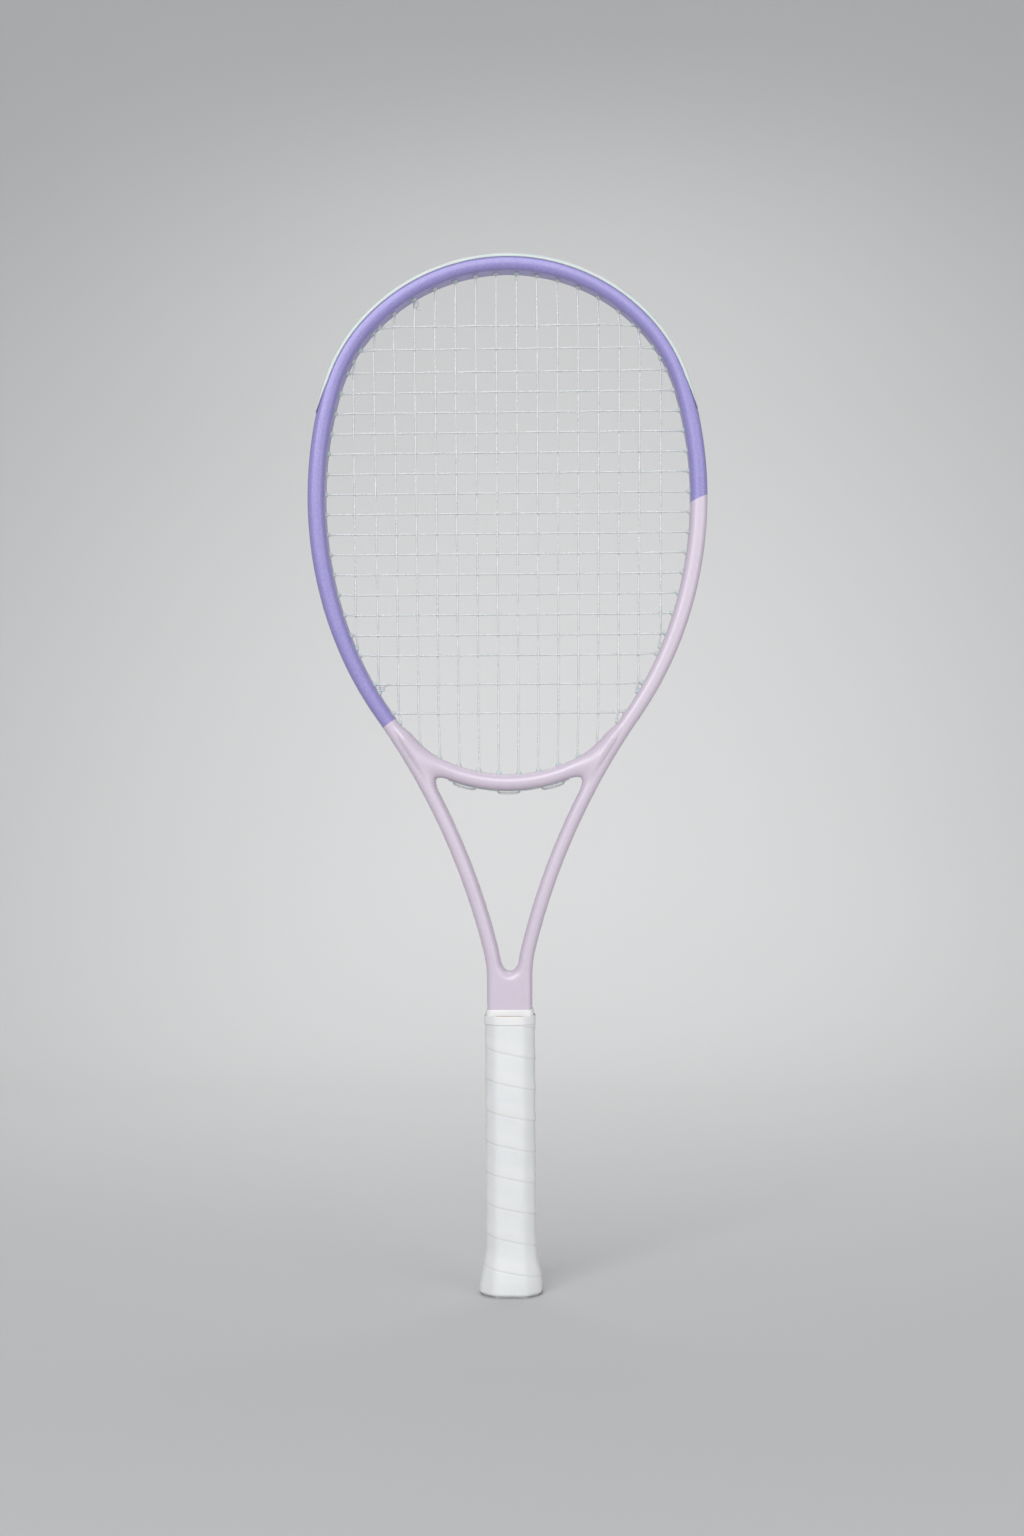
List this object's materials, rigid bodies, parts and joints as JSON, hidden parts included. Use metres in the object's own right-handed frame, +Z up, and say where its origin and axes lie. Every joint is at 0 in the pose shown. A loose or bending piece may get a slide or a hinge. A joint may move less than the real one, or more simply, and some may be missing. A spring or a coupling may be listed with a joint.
{
  "type": "tennis racket",
  "caption": "Adult tennis racket with a hollow oval head, woven strings, an open throat and a wrapped eight-sided handle.",
  "frame": {"origin": "middle of the butt end, on the surface that the racket stands on", "axes": "+Z up the handle to the top of the head, +X across the face, +Y through the beam towards the back face"},
  "size_m": [0.2636, 0.0376, 0.6858],
  "materials": {
    "purple_paint": "gloss",
    "lilac_paint": "gloss",
    "clear_plastic": "gloss",
    "string": "gloss",
    "pallet_foam": "matt",
    "foam": "matt",
    "cushion": "matt",
    "wrap": "matt",
    "tape": "satin",
    "white_plastic": "satin",
    "steel": "satin"
  },
  "bodies": {
    "racket": {"hoop_tube": "purple_paint", "throat_arm_left": "lilac_paint", "throat_arm_right": "lilac_paint", "throat_bridge": "lilac_paint", "shaft": "lilac_paint", "bumper_guard": "clear_plastic", "grommet_strip_left": "clear_plastic", "grommet_strip_right": "clear_plastic", "throat_grommet_strip": "clear_plastic", "main_string": "string", "cross_string": "string", "pallet_front": "pallet_foam", "pallet_back": "pallet_foam", "handle_foam": "foam", "base_grip": "cushion", "overgrip": "wrap", "finishing_tape": "tape", "grip_collar": "tape", "butt_cap": "white_plastic", "trap_door_pin": "steel", "cap_staples": "steel", "grip_tack": "steel"},
    "trap_door": {"trap_door": "white_plastic"}
  },
  "joints": [
    {"name": "trap_door_hinge", "type": "hinge", "parent": "racket", "child": "trap_door", "pos_m": [0, 0.0065, 0.0014], "axis": [1, 0, 0], "range_deg": [0, 95]}
  ]
}
